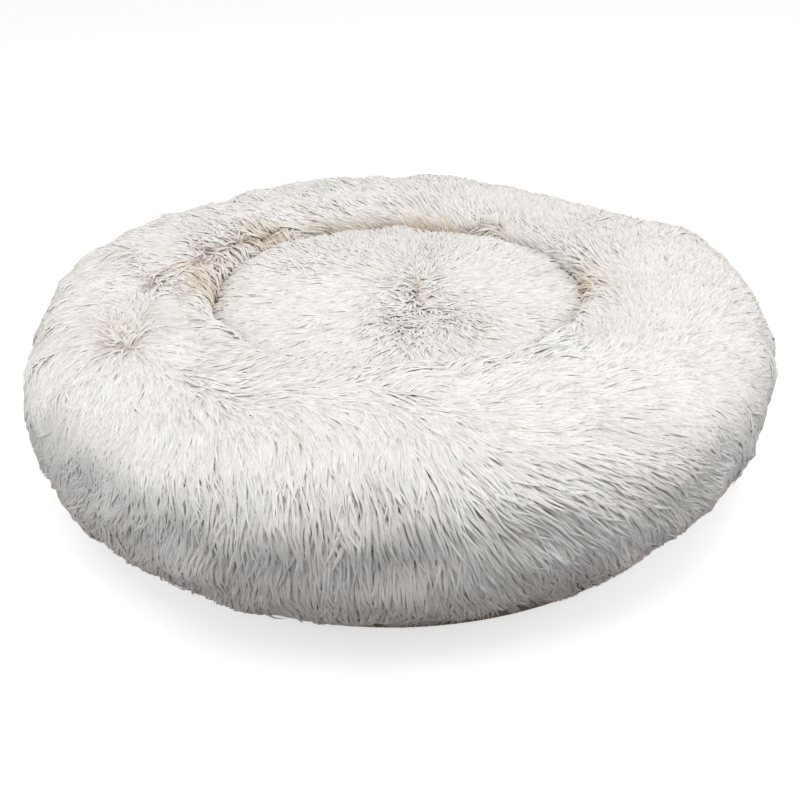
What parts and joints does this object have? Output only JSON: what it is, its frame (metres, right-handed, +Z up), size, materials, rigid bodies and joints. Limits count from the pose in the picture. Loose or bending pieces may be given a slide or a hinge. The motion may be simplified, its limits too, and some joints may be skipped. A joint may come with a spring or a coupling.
{
  "type": "round pet bed",
  "caption": "Round pet bed: a stuffed ring and a loose cushion in long pale fur, on a plain base that unzips along the back.",
  "frame": {"origin": "centre of the base's underside, on the floor", "axes": "+Z up, -Y towards the front of the bed as pictured, the zip runs round the back (+Y) half"},
  "size_m": [0.7972, 0.8076, 0.1936],
  "materials": {
    "long_pile_fur": "matte",
    "liner_cloth": "matte",
    "fibre_filling": "matte",
    "base_cloth": "matte",
    "zip_tape": "matte",
    "zip_coil": "satin",
    "zip_metal": "satin"
  },
  "bodies": {
    "bed": {"bolster_fur_front_left": "long_pile_fur", "bolster_fur_front_right": "long_pile_fur", "bolster_fur_back_left": "long_pile_fur", "bolster_fur_back_right": "long_pile_fur", "bolster_liner": "liner_cloth", "bolster_fill": "fibre_filling", "base_fabric": "base_cloth", "well_floor": "liner_cloth", "base_side_band": "base_cloth", "zip_tape_lower": "zip_tape", "zip_tape_upper": "zip_tape", "zip_coil_lower": "zip_coil", "zip_coil_upper": "zip_coil", "zip_top_stop_lower": "zip_coil", "zip_top_stop_upper": "zip_coil", "zip_bottom_stop": "zip_coil"},
    "zip_slider_body": {"zip_slider": "zip_metal"},
    "zip_pull_body": {"zip_pull": "zip_metal"},
    "cushion": {"cushion_fur_top": "long_pile_fur", "cushion_underside": "base_cloth", "cushion_inner_bag": "liner_cloth", "cushion_fill": "fibre_filling"}
  },
  "joints": [
    {"name": "zip_slide", "type": "hinge", "parent": "bed", "child": "zip_slider_body", "pos_m": [0, 0, 0.01285], "axis": [0, 0, 1], "range_deg": [0, 172.5]},
    {"name": "pull_swing", "type": "hinge", "parent": "zip_slider_body", "child": "zip_pull_body", "pos_m": [0.34899, 0.02274, 0.01285], "axis": [0, 0, -1], "range_deg": [0, 180]},
    {"name": "cushion_lift", "type": "slide", "parent": "bed", "child": "cushion", "axis": [0, 0, 1], "range_m": [0, 0.22]}
  ]
}
